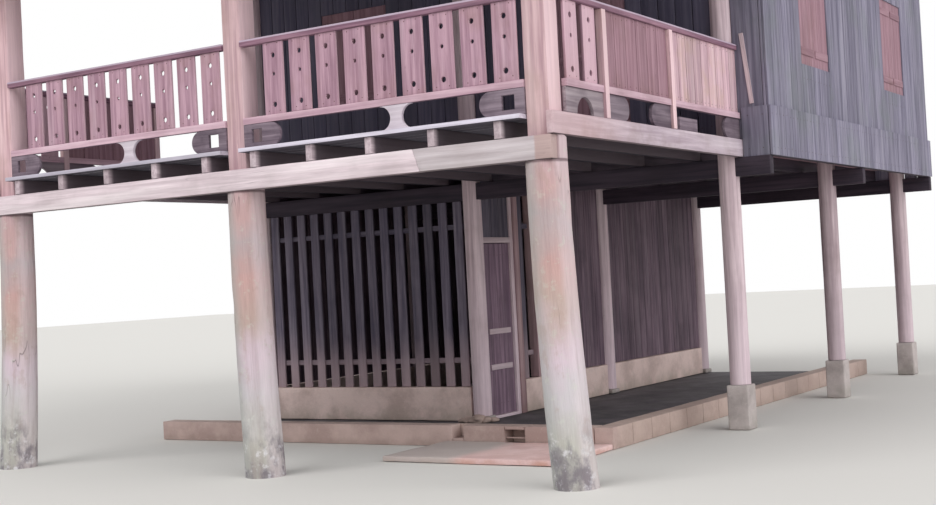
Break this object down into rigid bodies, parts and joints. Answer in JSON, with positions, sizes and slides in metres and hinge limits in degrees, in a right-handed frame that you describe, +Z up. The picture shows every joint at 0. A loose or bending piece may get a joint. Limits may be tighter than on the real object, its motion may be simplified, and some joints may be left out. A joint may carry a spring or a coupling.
{
  "type": "stilt house",
  "caption": "Raised timber house on trunk posts with a roofed verandah, pierced board balustrade, ground room under one bay and a gabled tile roof.",
  "frame": {"origin": "centre of the house's bounding box, at the level of the ground", "axes": "+X to the right along the verandah front, +Y towards the back of the house, +Z up"},
  "size_m": [7.62, 10.95, 8.0538],
  "materials": {
    "trunk_wood": "bare weathered trunk, lichen patches",
    "post_wood": "bare weathered hardwood",
    "pale_timber": "bleached bare hardwood",
    "mauve_timber": "weathered reddish hardwood",
    "grey_timber": "grey weathered boards",
    "dark_timber": "dark aged hardwood",
    "concrete": "rough grey cement",
    "faded_red_cement": "faded red cement render",
    "pale_stone": "pale cast blocks",
    "roof_tile": "aged clay tiles"
  },
  "bodies": {
    "house": {"corner_post": "trunk_wood", "front_posts": "trunk_wood", "body_posts": "post_wood", "post_footings": "pale_stone", "plinth": "concrete", "plinth_kerb": "faded_red_cement", "front_beam_near": "pale_timber", "front_beam_far": "pale_timber", "cross_beams": "dark_timber", "verandah_joists": "pale_timber", "body_joists": "dark_timber", "edge_joists": "pale_timber", "verandah_floor": "pale_timber", "body_floor": "dark_timber", "front_top_rails": "mauve_timber", "side_top_rails": "mauve_timber", "bottom_rails": "mauve_timber", "side_bay_posts": "mauve_timber", "front_boards": "mauve_timber", "side_boards": "mauve_timber", "band_ornaments": "pale_timber", "front_wall": "grey_timber", "back_wall": "grey_timber", "right_wall": "grey_timber", "left_wall": "grey_timber", "gables": "grey_timber", "apron_boards": "grey_timber", "upper_door": "dark_timber", "window_shutters": "dark_timber", "dado_walls": "concrete", "slat_walls": "dark_timber", "lower_board_walls": "dark_timber", "wall_studs": "post_wood", "door_frame": "dark_timber", "roof_plates": "dark_timber", "tie_beams": "dark_timber", "king_posts": "dark_timber", "ridge_board": "dark_timber", "main_rafters": "dark_timber", "verandah_rafters": "dark_timber", "front_slope": "roof_tile", "back_slope": "roof_tile", "verandah_roof": "roof_tile", "ridge_cap": "roof_tile", "barge_boards": "grey_timber"},
    "ground_door": {"lower_door": "dark_timber"}
  },
  "joints": [
    {"name": "ground_door_hinge", "type": "hinge", "parent": "house", "child": "ground_door", "pos_m": [0, -1.13, 0.075], "axis": [0, 0, 1], "range_deg": [0, 95]}
  ]
}
